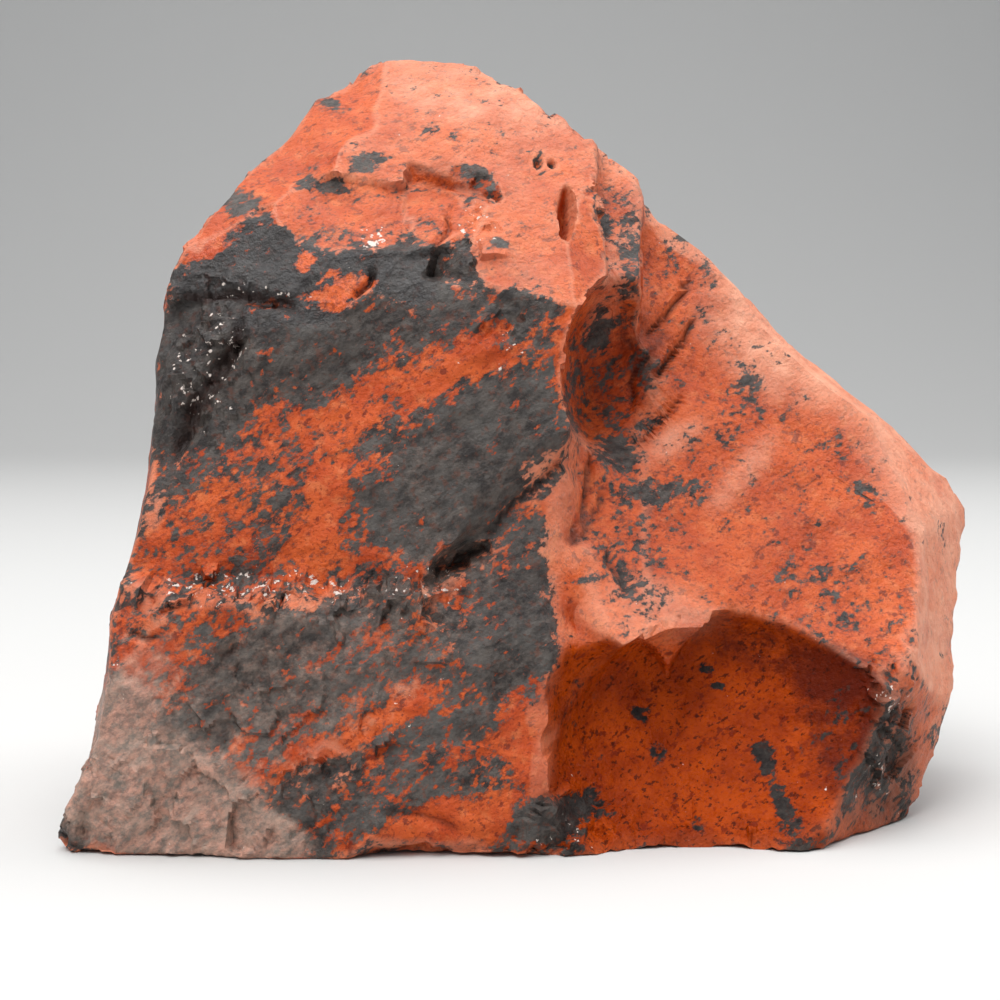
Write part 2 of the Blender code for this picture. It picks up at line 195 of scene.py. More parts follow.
# dark glass (more above zero, less below), in X and Z: middle, half sizes, turn, how much
darkSpots = {
    "slope": (-30.6, 89.5, 21, 5.9, -3, 0.2), "slopeOrangeLeft": (-47.5, 92.6, 4.1, 2.5, 5, -0.42),
    "slopeOrangeMid": (-24.9, 84.8, 6.2, 3.4, 0, -0.26), "slopeOrangeSmall": (-31.4, 89.5, 1.4, 1.9, 0, -0.3),
    "slopeBlack": (-14.7, 89.5, 5.6, 5, 0, 0.16), "lip": (-44.3, 85.9, 7.2, 1.9, -8, 0.2),
    "crownTip": (-29.6, 117.4, 2, 0.8, -10, 0.4), "crownFleck": (-22.5, 105.8, 3.2, 1.8, 10, 0.42),
    "crownLow": (-29.6, 102.1, 5.1, 1.3, -5, 0.3), "shoulder": (-42.6, 99.1, 3.8, 2.1, 0, 0.42),
    "neckLeft": (-6.3, 89.6, 1.7, 3.6, 0, 0.36), "neckSpot": (-1, 92.5, 1.5, 0.9, -15, 0.42),
    "neckFoot": (3.4, 83, 5.5, 3, 12, 0.24), "toeTip": (-66, 4, 2.5, 2.5, 0, 0.3),
    "crownBit": (-12.2, 112.4, 1.5, 1.2, 0, 0.3), "crownBitTwo": (-8.2, 110.8, 1.3, 1.1, 0, 0.26),
    "wall": (-4.9, 104.8, 2.6, 1, -20, 0.3), "crownEdge": (-0.1, 121.5, 1.7, 0.9, -20, 0.3),
    "neck": (16.4, 96.1, 0.8, 2.1, 0, 0.32), "neckLow": (15.4, 79.1, 2.3, 3.7, 0, 0.15),
    "corner": (-47.1, 72.8, 8.5, 13.8, -12, 0.3), "upper": (-31, 76.6, 11.5, 7.4, 20, 0.16),
    "upperRight": (-14.9, 81.2, 13.1, 4, 8, 0.16), "rightGrey": (-2.5, 60.3, 13.7, 9.5, 38, 0.26),
    "rightGreyLow": (-13.2, 50.1, 9.1, 7.6, 30, 0.13), "lipMixed": (5.1, 72.8, 4, 12.3, 0, 0.03),
    "lipOrange": (2.1, 65.2, 3.1, 6.1, 30, -0.08), "streak": (-16.4, 70, 14.6, 3.1, 27, -0.2),
    "streakHigh": (-6.4, 72.5, 9.2, 2.1, 25, -0.14), "leftOrange": (-47.5, 53.1, 12.2, 6.4, 28, -0.06),
    "leftOrangeLow": (-50.4, 44.1, 12.2, 4.3, 12, -0.05), "streakDown": (-28.2, 52.3, 3.4, 10.7, -18, -0.2),
    "midGrey": (-16.2, 57.7, 8.4, 9.1, 0, 0.09), "ledge": (-26.9, 43.9, 10.7, 3.8, 0, -0.06),
    "redLow": (-53.3, 30.5, 8.2, 7.5, 15, -0.12), "band": (-32.5, 32.6, 18, 3.6, 22, 0.2),
    "bandLow": (-43.5, 21.7, 13.4, 3.9, 24, 0.18), "bandOrange": (-16.8, 21.7, 12, 1.7, 30, -0.2),
    "bandOrangeLow": (-30.9, 14.8, 10.5, 1.3, 22, -0.12), "bandMid": (-23.5, 26.7, 13.5, 1.9, 25, 0.12),
    "bottom": (-21.9, 8.9, 17.9, 3.9, 8, 0.1), "rightDark": (-0.2, 28.5, 7.8, 14.3, -12, 0.19),
    "rightDarkHigh": (4.3, 38.1, 3.3, 9.1, 8, 0.12), "gash": (-16.2, 44.1, 4, 2.4, 0, -0.1),
    "cornerOrange": (4.3, 16.6, 7.2, 8.3, 38, -0.34), "bottomOrange": (-7.7, 5.4, 11.2, 3.3, 8, -0.3),
    "blackChip": (8.3, 5.8, 7.8, 3, 0, 0.5), "recess": (17, 68.5, 4, 8.5, 8, 0.05),
    "spur": (20.3, 92.9, 2.1, 6.2, 0, 0.18), "clusterLow": (19.9, 45.1, 7.1, 9.8, -10, 0.12),
    "clusterSpot": (11.1, 40.3, 2.3, 0.9, 8, 0.4), "clusterUp": (18.5, 58.8, 3.9, 2.3, 0, 0.3),
    "clusterMid": (24.9, 53.2, 6.5, 2.3, 6, 0.2), "clusterRight": (39.5, 67.4, 3.4, 7, -25, 0.17),
    "clusterHigh": (33, 93, 2.5, 8, 45, 0.14), "cheek": (59.9, 52.1, 1.5, 2.6, 0, 0.35),
    "hazeRight": (51.2, 35.6, 7.6, 10.4, 20, 0.08), "side": (72.8, 44.9, 1.3, 3, 0, 0.25),
    "scoopA": (11.1, 24.5, 1.4, 0.9, 0, 0.4), "scoopB": (10.1, 21.6, 0.9, 1.3, 0, 0.42),
    "scoopC": (10.1, 18, 1.4, 2, 0, 0.46), "scoopD": (21.7, 18.4, 2.4, 1.3, -20, 0.4),
    "scoopE": (31.9, 25.3, 1.5, 1.1, 0, 0.4), "scoopF": (33.7, 22.5, 1.3, 0.7, 0, 0.4),
    "scoopG": (23.8, 12.9, 1.4, 1.1, 0, 0.38), "scoopH": (40.4, 12.6, 2.3, 2.3, 30, 0.36),
    "scoopI": (41.7, 8.6, 1.4, 4.8, 18, 0.3), "scoopJ": (43.8, 2.9, 2.2, 5.1, 25, 0.34),
    "scoopK": (29.4, 3.3, 1.3, 1.1, 0, 0.36), "scoopL": (14.4, 12.8, 0.8, 0.8, 0, 0.36),
    "scoopRight": (53, 15.3, 8, 10.8, 20, 0.2), "jaw": (61, 10, 5, 12, 10, 0.08),
    "lipEdge": (8.9, 75.5, 1.5, 12, -4, -0.2), "lipCurl": (5.6, 58.6, 4.5, 1.6, 40, -0.22),
}
# pink bloom of fine scuffs, and painted light: the sky-lit pink of the hollow's upper right and of the crown,
# and a painted highlight along the lip
scuffAndLightSpots = {
    "pinkZone": (44, 76.6, 12.7, 7.1, -42, 0.75), "lipHighlight": (6, 57.2, 6.2, 3.4, 38, 0.4),
    "hollowLeft": (22.2, 35.8, 10.8, 4.6, -10, 0.4), "rib": (27.9, 60.9, 5.8, 2, 35, 0.5),
    "ribLong": (39.3, 56.1, 8.6, 2.1, 45, 0.5), "rim": (16.9, 85.5, 2.6, 9.8, -15, 0.3),
    "crown": (-4.4, 117.5, 15.1, 5, -10, 0.5),
}
# rust-orange glass of the scoop's kind
rustSpots = {
    "jaw": (58, 12, 9, 14, 10, 1), "foot": (34, 2, 30, 5, 0, 1.3),
    "hollow": (38, 55, 26, 22, -40, 0.3), "recess": (18, 70, 8, 13, 5, 0.2),
    "wall": (-8, 103, 8, 3, -20, 0.5),
}
# wine-red glass, and painted shade: darker on the scoop's right side and under its rim, in the recess, under
# the spur, on the neck facet, on the ledge wall and in the cheek's shadow; the toe tip is the glass's own red
wineAndShadeSpots = {
    "scoopRight": (54, 16, 9, 14, 15, 0.45), "shadeUnderRim": (40, 29, 18, 5, -14, 0.4),
    "jaw": (61, 10, 5, 12, 10, 0.5), "recess": (18, 68, 6.5, 12, 6, 0.2),
    "spur": (22, 80, 4, 9, 15, 0.3), "neckFacet": (1.2, 89.6, 3.2, 4.4, 10, 0.3),
    "wall": (-8.5, 103.3, 7.5, 2.2, -20, 0.35), "toeTip": (-66, 4, 3.5, 3, 0, 0.9),
    "hollowUp": (28, 74, 5, 9, -30, 0.25), "cheekShade": (50, 52, 7, 3, -35, 0.2),
}
# grey-tan dust, thickest on the foot
dustSpots = {
    "lowFace": (-35, 24, 34, 15, 22, 0.33), "leftEdge": (-57, 30, 7, 14, -10, 0.25),
    "greyBand": (-8, 52, 14, 14, 40, 0.22), "upper": (-28, 70, 20, 9, 20, 0.15),
    "foot": (-53.4, 8, 19.5, 9.3, -20, 1), "footLow": (-40.7, 2.1, 11.2, 4.5, 0, 0.9),
    "footHigh": (-59.5, 16.9, 6, 9, -15, 0.8),
}
# white flecks of crushed glass, and a painted highlight on the glossy slope
whiteFleckAndHighlightSpots = {
    "corner": (-46, 73, 8, 10, -14, 0.9), "ledge": (-38, 40, 20, 2.6, 0, 1),
    # the slope spot is a painted highlight on the glossy slope
    "ledgeEnd": (-12, 40, 6, 4, 0, 0.8), "slope": (-21.3, 93.6, 2.4, 2.4, 0, 1.3),
    "notch": (-4, 96, 4, 5, 0, 0.8), "pits": (0, 75.5, 2.5, 4, 0, 0.9),
    "lip": (-38, 84.8, 9, 1.4, -8, 0.9), "cheek": (59.5, 22, 4, 3, -30, 1),
    "cheekLow": (58, 10, 5, 5, 30, 0.7), "blackChip": (9, 3, 7, 2, 0, 0.9),
    "low": (-17, 22, 5, 5, 30, 0.5), "leftRim": (-60, 24, 3, 10, -12, 0.6),
}
# each face's own share of dark glass, bloom and gloss; plain is for faces without a row. On the faces that
# look up and to the right the bloom is also painted light
finish = {
    "front": (0.02, 0, 0.15), "foot": (0, 0, 0.05), "broadFace": (0, 0, 0.3),
    "fall": (0, 0, 0.35), "roughCorner": (0.08, 0, 0.6), "glossySlope": (0, 0, 1),
    "shelfLeft": (-0.2, 0.15, 0.35), "shelfRight": (-0.2, 0.15, 0.35), "notch": (-0.06, 0.1, 0.5),
    "neck": (-0.25, 0.12, 0.15),
    "strip": (-0.4, 0, 0.3), "spur": (-0.1, 0.25, 0.4), "crownDome": (-0.22, 0.35, 0.2),
    "crownLeft": (-0.22, 0.08, 0.25), "hollowRight": (-0.17, 0.06, 0.4), "hollowLeft": (-0.17, 0.06, 0.4),
    "recess": (-0.06, 0, 0.45), "bevel": (-0.3, 0.8, 0.1), "cheek": (-0.3, 0.85, 0.1),
    "rightSide": (-0.28, 0.9, 0.15), "rightSlope": (-0.25, 0.7, 0.15), "ledgeWall": (-0.24, 0, 0.5),
    "scoop": (-0.33, 0, 0.85), "scoopLeft": (-0.33, 0, 0.85), "crownRight": (-0.2, 0.5, 0.15),
    "crownTop": (-0.2, 0.4, 0.15), "chip": (-0.05, 0.05, 0.4), "plain": (0, 0.05, 0.4),
    "jaw": (-0.1, 0.3, 0.4), "slot": (-0.3, 0, 0.4), "gashHigh": (0.2, 0, 0.5),
    "gashLow": (0.2, 0, 0.3),
    "back": (-0.02, 0.15, 0.25), "backLeft": (-0.05, 0.15, 0.3), "backRight": (-0.1, 0.25, 0.25),
    "backTop": (-0.12, 0.3, 0.2), "backScar": (-0.1, 0.1, 0.5), "backLowScar": (0.02, 0.1, 0.5),
    "leftSide": (0.02, 0.1, 0.25), "leftShoulder": (0, 0.15, 0.3), "sideFlake": (0.02, 0.05, 0.5),
    "sideLowFlake": (0, 0.05, 0.45), "toe": (0, 0.1, 0.3), "base": (-0.1, 0.1, 0.3),
}


def waves(points, seed, length, height):
    # height times the sum of a few sines over their level, each along a random way and about one length long
    rng = np.random.default_rng(seed)
    total = np.zeros(len(points))
    for _ in range(skin["sines"]):
        way = rng.normal(size=3)
        way *= tau / (length * rng.uniform(*skin["sineLengths"])) / np.linalg.norm(way)
        total += np.sin(points @ way + rng.uniform(0.0, tau))
    return total * height / skin["sineLevel"]


noiseTable = np.random.default_rng(5).random(1 << 16)
flakeKinds, flakeStep = 1 << 12, 0.35
cellPrimes, seedPrime, seedShift = (73856093, 19349663, 83492791), 7919, 17.3


def cellKey(x, y, z):
    # a number scattered by the cell's three whole coordinates
    return (x * cellPrimes[0]) ^ (y * cellPrimes[1]) ^ (z * cellPrimes[2])


def smoothNoise(points, size, seed):
    # random values on a lattice of this size, blended smoothly between its corners; 0 to 1
    spot = points / size + seedShift * seed
    low = np.floor(spot).astype(np.int64)
    part = spot - low
    part = part * part * (3.0 - 2.0 * part)
    total = np.zeros(len(points))
    for dx in (0, 1):
        for dy in (0, 1):
            for dz in (0, 1):
                corner = cellKey(low[:, 0] + dx, low[:, 1] + dy, low[:, 2] + dz)
                weight = np.abs((1 - dx, 1 - dy, 1 - dz) - part).prod(1)
                total += noiseTable[(corner + seed * seedPrime) % len(noiseTable)] * weight
    return total


def flakes(points, size, seed):
    # every point takes the random small plane of its nearest cell centre: tilt . (point - centre) + step
    rng = np.random.default_rng(seed)
    shifts, tilts = rng.random((flakeKinds, 3)), rng.normal(size=(flakeKinds, 4))
    steps = flakeStep * tilts[:, 3]
    spot = points / size
    low = np.floor(spot).astype(np.int64)
    best = np.full(len(points), farAway)
    value = np.zeros(len(points))
    for dx in (-1, 0, 1):
        for dy in (-1, 0, 1):
            for dz in (-1, 0, 1):
                cell = low + (dx, dy, dz)
                key = cellKey(cell[:, 0], cell[:, 1], cell[:, 2]) % flakeKinds
                away = spot - cell - shifts[key]
                gap = (away * away).sum(1)
                near = gap < best
                best[near] = gap[near]
                value[near] = ((away * tilts[key, :3]).sum(1) + steps[key])[near]
    return value


def eggFrame(halfSizes, lean, roll):
    # rows that take a world vector to the egg's own unit sphere
    r, w = math.radians(roll), math.radians(lean)
    tiltBack = np.array([[1, 0, 0], [0, math.cos(w), math.sin(w)], [0, -math.sin(w), math.cos(w)]])
    rollOver = np.array([[math.cos(r), 0, math.sin(r)], [0, 1, 0], [-math.sin(r), 0, math.cos(r)]])
    return (rollOver @ tiltBack).T / np.array(halfSizes)[:, None]


def brokenSwell(start, way, distance, seed):
    # the swell of a broken face where the ray is this far out: long waves and small ones
    spot = start + np.clip(distance, 0.0, skin["longest"])[:, None] * way
    return waves(spot, seed, skin["waveLength"], skin["waveHeight"]) \
        + waves(spot, seed + skin["waveSmallSeed"], skin["waveSmall"], skin["waveSmallHeight"])


def planeSpan(start, way, point, direction, seed=None, rough=1.0, floor=None):
    # where a ray is beyond a plane: from t = (point - start) . direction / (way . direction) to forever,
    # or up to t; a wall of a cut takes its swell from the cut's own floor
    parallel, glancing = skin["parallel"], skin["glancing"]
    speed = way @ direction
    speed = np.where(np.abs(speed) < parallel, parallel, speed)
    t = (np.array(point) - start) @ direction / speed
    if seed is not None:
        swell = brokenSwell(start, way, t if floor is None else floor, seed)
        t = t + rough * swell / np.where(np.abs(speed) < glancing, glancing * np.sign(speed), speed)
    return np.where(speed > 0, t, -farAway), np.where(speed > 0, farAway, t)


def ballSpan(start, way, middle, matrix, seed=None):
    # where a ray is inside an ellipsoid: between the roots of |matrix (start + t way - middle)| = 1
    q, w = (start - middle) @ matrix.T, way @ matrix.T
    a, b, c = (w * w).sum(1), (q * w).sum(1), (q * q).sum(1) - 1.0
    under = b * b - a * c
    root = np.sqrt(np.maximum(under, 0.0))
    near, far = (-b - root) / a, (-b + root) / a
    if seed is not None:
        near += brokenSwell(start, way, near, seed)
        far -= brokenSwell(start, way, far, seed)
    return np.where(under > 0, near, farAway), np.where(under > 0, far, -farAway)


def outlineLimits(outline):
    # walls straight back along Y over each side of an outline drawn in X and Z
    middle = np.mean(outline, axis=0)
    walls = []
    for (x, z), (nextX, nextZ) in zip(outline, outline[1:] + outline[:1]):
        inward = np.array([nextZ - z, 0.0, x - nextX])
        inward /= np.linalg.norm(inward)
        if inward[0] * (middle[0] - x) + inward[2] * (middle[1] - z) < 0.0:
            inward = -inward
        walls.append(((x, 0.0, z), inward))
    return walls


def facesNamed(label, names):
    # true where the skin's face is one of these
    return np.isin(label, [number[name] for name in names])


def castSkin(start, way, chips=()):
    # distance along each ray to the outside of the stone, and the number of the face met there:
    # the nearest of every outer face's exit and every cut's entry
    reach = np.full(len(start), farAway)
    label = np.zeros(len(start), int)

    def meet(near, distance, name):
        reach[near], label[near] = np.maximum(distance[near], skin["shortest"]), number[name]

    for name, (point, bearing, tilt) in outerFaces.items():
        seed = None if name == "base" else number[name]
        leave = planeSpan(start, way, point, facing(bearing, tilt), seed)[0]
        meet((leave > 0) & (leave < reach), leave, name)
    for name, (face, limits, outline) in scars.items():
        point, bearing, tilt, radius = face
        out = facing(bearing, tilt)
        seed = number["hollowRight"] if name == "hollowLeft" else number[name]
        if radius == 0:
            enter, leave = planeSpan(start, way, point, out, seed)
        else:
            middle = np.array(point) + radius * out
            enter, leave = ballSpan(start, way, middle, np.eye(3) / abs(radius), seed)
        if radius < 0:
            meet((leave > 0) & (leave < reach), leave, name)
            continue
        walls = [(p, facing(b, t)) for p, b, t in limits] + (outlineLimits(outline) if outline else [])
        floor = enter
        for i, (wallPoint, direction) in enumerate(walls):
            wallSeed = number[name] * skin["wallSeeds"] + i
            wall = planeSpan(start, way, wallPoint, direction, wallSeed, skin["wallSwell"], floor)
            enter, leave = np.maximum(enter, wall[0]), np.minimum(leave, wall[1])
        meet((enter < leave) & (leave > 0) & (enter < reach), enter, name)
    for name, (middle, halfSizes, lean, roll) in eggs.items():
        seed = number[name] if min(halfSizes) > skin["smallCut"] else None
        enter, leave = ballSpan(start, way, np.array(middle), eggFrame(halfSizes, lean, roll), seed)
        meet((enter < leave) & (leave > 0) & (enter < reach), enter, name)
    for middle, matrix in chips:
        enter, leave = ballSpan(start, way, middle, matrix)
        meet((enter < leave) & (leave > 0) & (enter < reach), enter, "chip")
    return reach, label


def spreadOut(cells, k):
    # places from -1 to 1 whose (1 - k) a + k a^3 are evenly spaced
    tries = 4001
    a = np.linspace(-1.0, 1.0, tries)
    return np.interp(np.linspace(-1.0, 1.0, cells + 1), (1.0 - k) * a + k * a ** 3, a)


def rays(place):
    # a cube place (each of its three values -1 to 1) gives a start in the tapered core and a way out,
    # square to the face in its middle and slanting at its rims
    heights = skin["coreHeights"]
    height = heights[0] + (place[:, 2] + 1.0) / 2.0 * (heights[-1] - heights[0])
    start = np.empty_like(place)
    for axis, (nearSide, farSide) in enumerate((("coreLeft", "coreRight"), ("coreFront", "coreBack"))):
        nearest = np.interp(height, heights, skin[nearSide])
        farthest = np.interp(height, heights, skin[farSide])
        start[:, axis] = nearest + (place[:, axis] + 1.0) / 2.0 * (farthest - nearest)
    start[:, 2] = height
    way = np.sign(place) * np.abs(place) ** np.array(skin["fan"])
    return start, way / np.linalg.norm(way, axis=1)[:, None]


def latticePlace(lattice):
    # lattice numbers, also fractions between them, to cube places
    place = np.empty(lattice.shape)
    for axis in range(3):
        cells = skin["cells"][axis]
        table = spreadOut(cells, skin["spread"][axis])
        place[:, axis] = np.interp(lattice[:, axis], np.arange(cells + 1), table)
    return place


def latticeKey(spot):
    # one whole number for each lattice point
    nx, ny, nz = skin["cells"]
    return (spot[..., 0] * (ny + 1) + spot[..., 1]) * (nz + 1) + spot[..., 2]


def cubeFaces():
    # the six faces of the lattice as grids of lattice points, with the step at which each is used
    nx, ny, nz = skin["cells"]
    x, y, z = np.arange(nx + 1), np.arange(ny + 1), np.arange(nz + 1)

    def grid(first, second, build):
        u, v = np.meshgrid(first, second, indexing="ij")
        return np.stack(np.broadcast_arrays(*build(u, v)), axis=-1)

    return [
        (grid(x, z, lambda u, v: (u, 0, v)), 1),
        (grid(z, x, lambda u, v: (v, ny, u)), 2),
        (grid(z, y, lambda u, v: (0, v, u)), 2),
        (grid(y, z, lambda u, v: (nx, u, v)), 2),
        (grid(x, y, lambda u, v: (u, v, nz)), 2),
        (grid(y, x, lambda u, v: (v, u, 0)), 2),
    ]


def snapToEdges(lattice, keys, label, reach, chips):
    # slide each point to where the face beside it changes: under half a step away at a crease,
    # and up to a whole step at a cliff, where only the outer side moves
    onFace = (lattice == 0) | (lattice == skin["cells"])
    inside = onFace.sum(1) == 1
    step = np.where(lattice[:, 1] == 0, 1, 2)
    best = np.full(len(lattice), farAway)
    target = lattice.astype(float)
    moved = np.zeros(len(lattice), bool)
    for axis in range(3):
        for sign in (-1, 1):
            rows = np.flatnonzero(inside & ~onFace[:, axis])
            shift = np.zeros((len(rows), 3), int)
            shift[:, axis] = sign * step[rows]
            beside = latticeKey(lattice[rows] + shift)
            spot = np.minimum(np.searchsorted(keys, beside), len(keys) - 1)
            drop = np.where(keys[spot] == beside, reach[rows] - reach[spot], 0.0)
            differs = ((keys[spot] != beside) | (label[spot] != label[rows])) & (drop > -skin["cliff"])
            rows, shift = rows[differs], shift[differs].astype(float)
            far = np.where(drop[differs] > skin["cliff"], skin["cliffSlide"], skin["slide"])
            start, way = rays(latticePlace(lattice[rows] + far[:, None] * shift))
            away = castSkin(start, way, chips)[1] != label[rows]
            rows, shift, far = rows[away], shift[away], far[away]
            low, high = np.zeros(len(rows)), far
            for _ in range(skin["halvings"]):
                middle = (low + high) / 2.0
                start, way = rays(latticePlace(lattice[rows] + middle[:, None] * shift))
                same = castSkin(start, way, chips)[1] == label[rows]
                low, high = np.where(same, middle, low), np.where(same, high, middle)
            closer = low < best[rows]
            rows, low, shift = rows[closer], low[closer], shift[closer]
            best[rows] = low
            target[rows] = lattice[rows] + low[:, None] * shift
            moved[rows] = True
    return target, moved


def neighbourMean(values, edges, count, rounds):
    # each point's value is averaged with its neighbours', a few rounds
    for _ in range(rounds):
        total, share = values.copy(), np.ones(count)
        for a, b in ((0, 1), (1, 0)):
            total += np.bincount(edges[:, a], weights=values[edges[:, b]], minlength=count)
            share += np.bincount(edges[:, a], minlength=count)
        values = total / share
    return values


def relax(points, links, share, rounds, reach):
    # points move halfway to the mean of the neighbours within reach, by their share, a few rounds
    links = links[np.linalg.norm(points[links[:, 0]] - points[links[:, 1]], axis=1) < reach]
    ends = np.concatenate([links, links[:, ::-1]])
    many = np.bincount(ends[:, 0], minlength=len(points))
    share = np.where(many > 0, share, 0.0)
    for _ in range(rounds):
        mean = np.stack([np.bincount(ends[:, 0], weights=points[ends[:, 1], i], minlength=len(points))
                         for i in range(3)], axis=1) / np.maximum(many, 1)[:, None]
        points = points + 0.5 * share[:, None] * (mean - points)
    return points


def pointNormals(points, triangles, count):
    # mean of the normals of the triangles round each point, weighed by their area
    a, b, c = (points[triangles[:, i]] for i in range(3))
    n = np.cross(b - a, c - a)
    total = np.stack([np.bincount(triangles.ravel(), weights=np.repeat(n[:, i], 3), minlength=count)
                      for i in range(3)], axis=1)
    return total / np.maximum(np.linalg.norm(total, axis=1), tiny)[:, None]


def joinRings(rings, indices, points, moved):
    # triangles of each ring of points; a four-sided one is split along the edge of a face that crosses it
    triangles, place = [], 0
    for ring, keep in rings:
        sizes = keep.sum(1)
        flat = indices[place:place + int(sizes.sum())]
        place += int(sizes.sum())
        if ring.shape[1] == 4:
            quad = flat.reshape(-1, 4)
            onEdge = moved[quad]
            across = [np.linalg.norm(points[quad[:, i]] - points[quad[:, i + 2]], axis=1) for i in (0, 1)]
            shorter = across[0] - across[1] < 0
            first = (onEdge[:, 0] & onEdge[:, 2]) | (~(onEdge[:, 1] & onEdge[:, 3]) & shorter)
            a, b = quad[first], quad[~first]
            triangles += [a[:, [0, 1, 2]], a[:, [0, 2, 3]], b[:, [0, 1, 3]], b[:, [1, 2, 3]]]
            continue
        ends = np.cumsum(sizes)
        for size in np.unique(sizes):
            rows = np.flatnonzero(sizes == size)
            many = np.stack([flat[ends[rows] - size + i] for i in range(size)], axis=1)
            triangles += [many[:, [0, i, i + 1]] for i in range(1, size - 1)]
    return np.concatenate(triangles)


def skinRings():
    # rings of lattice points to join, and which points each keeps: the coarser faces keep those between
    # their corners only along their rims, so that they meet the face beside
    early, mid, late = slice(None, -2, 2), slice(1, -1, 2), slice(2, None, 2)
    around = ((early, early), (mid, early), (late, early), (late, mid),
              (late, late), (mid, late), (early, late), (early, mid))
    rings = []
    for grid, step in cubeFaces():
        keys = latticeKey(grid)
        if step == 1:
            ring = np.stack([keys[:-1, :-1], keys[1:, :-1], keys[1:, 1:], keys[:-1, 1:]], axis=-1)
            keep = np.ones(ring.shape, bool)
        else:
            ring = np.stack([keys[spot] for spot in around], axis=-1)
            keep = np.zeros(ring.shape, bool)
            keep[..., 0::2] = True
            keep[:, 0, 1] = keep[-1, :, 3] = keep[:, -1, 5] = keep[0, :, 7] = True
        size = ring.shape[-1]
        rings.append((ring.reshape(-1, size), keep.reshape(-1, size)))
    return rings


def edgeFlakes(points, triangles, label):
    # small flakes knocked off the edges: thin eggs sunk into points where the skin turns sharply
    normals = pointNormals(points, triangles, len(points))
    near = np.concatenate([triangles[:, [0, 1]], triangles[:, [1, 2]], triangles[:, [2, 0]]])
    gap = points[near[:, 1]] - points[near[:, 0]]
    turn = ((normals[near[:, 1]] - normals[near[:, 0]]) * gap).sum(1)
    turn /= np.maximum(np.linalg.norm(gap, axis=1), tiny)
    differs = label[near[:, 0]] != label[near[:, 1]]
    chipped = ~facesNamed(label, cleanRims)[near].any(axis=1) & (points[near[:, 0], 2] > skin["chipLowest"])
    rims = np.unique(near[(turn > skin["sharpTurn"]) & differs & chipped][:, 0])
    rng = np.random.default_rng(skin["chipSeed"])
    smallest, largest = skin["chipSizes"]
    chips = []
    for row in rng.choice(rims, skin["chips"], replace=False):
        size = smallest + (largest - smallest) * rng.random() ** skin["chipRare"]
        out = normals[row] + rng.normal(size=3) * skin["chipTurn"]
        side = np.cross(out, rng.normal(size=3))
        basis = np.linalg.qr(np.stack([out, side, np.cross(out, side)], axis=1))[0].T
        thin = size * skin["chipThin"]
        wide = size * rng.uniform(*skin["chipWide"], 2)
        matrix = basis / np.array([thin, *wide])[:, None]
        chips.append((points[row] + basis[0] * np.sign(basis[0] @ out) * thin * skin["chipSunk"], matrix))
    return chips


def buildSkin():
    # six grids of points are cast onto the stone, slid to its edges, and joined into one closed skin
    rings = skinRings()
    keys, indices = np.unique(np.concatenate([ring[keep] for ring, keep in rings]), return_inverse=True)
    nx, ny, nz = skin["cells"]
    rows = keys // (nz + 1)
    lattice = np.stack([rows // (ny + 1), rows % (ny + 1), keys % (nz + 1)], axis=1)
    start, way = rays(latticePlace(lattice.astype(float)))
    reach, label = castSkin(start, way)
    points = start + reach[:, None] * way
    print("skin cast,", len(points), "points, shortest ray", round(float(reach.min()), 2))
    whole = joinRings(rings, indices, points, np.zeros(len(points), bool))
    chips = edgeFlakes(points, whole, label)
    print("edges chipped,", len(chips), "small flakes")
    reach, label = castSkin(start, way, chips)
    target, moved = snapToEdges(lattice, keys, label, reach, chips)
    start, way = rays(latticePlace(target))
    points = start + castSkin(start, way, chips)[0][:, None] * way
    print("edges found,", int(moved.sum()), "points moved")
    return points, joinRings(rings, indices, points, moved), label, moved


points, triangles, label, moved = buildSkin()
count = len(points)
print("skin has", count, "points and", len(triangles), "triangles")


def spotSum(points, table):
    # sum of soft-rimmed ovals seen from the front: full inside half of their size, gone past 1.45 of it
    full, gone = 0.5, 1.45
    total = np.zeros(len(points))
    for x, z, wide, high, turn, amount in table.values():
        c, s = math.cos(math.radians(turn)), math.sin(math.radians(turn))
        dx, dz = points[:, 0] - x, points[:, 2] - z
        r = np.hypot((dx * c + dz * s) / wide, (dz * c - dx * s) / high)
        share = np.clip((gone - r) / (gone - full), 0.0, 1.0)
        total += amount * share * share * (3.0 - 2.0 * share)
    return total


def lineRelief(points, table):
    # each line takes depth * exp(-(distance / half width)^2) off the surface, less towards its ends
    fading, leastDepth = 0.22, 0.15
    total = np.zeros(len(points))
    for path, depth, width in table.values():
        path = np.array(path)
        lengths = np.linalg.norm(np.diff(path, axis=0), axis=1)
        along, best = np.zeros(len(points)), np.full(len(points), farAway)
        reached = 0.0
        for first, last, length in zip(path[:-1], path[1:], lengths):
            way = (last - first) / length
            away = points[:, [0, 2]] - first
            t = np.clip(away @ way, 0.0, length)
            gap = np.linalg.norm(away - t[:, None] * way, axis=1)
            closer = gap < best
            best[closer] = gap[closer]
            along[closer] = (reached + t)[closer]
            reached += length
        ends = np.clip(np.minimum(along, reached - along) / (fading * reached), leastDepth, 1.0)
        total += depth * ends * np.exp(-(best / width) ** 2)
    return total


# a pointed flake left hanging from the scoop's rim, and the small point at the toe
tongue = {"tip": (25.6, 23.8), "height": 9.0, "tallest": 1.4, "slant": -0.6, "half": 5.5, "taper": 1.6,
          "soft": 1.1, "proud": (1.3, 5.0), "sunk": 0.2}
toePoint = {"place": (-64.5, -36.5, 4.0), "reach": 4.5, "proud": 2.3}


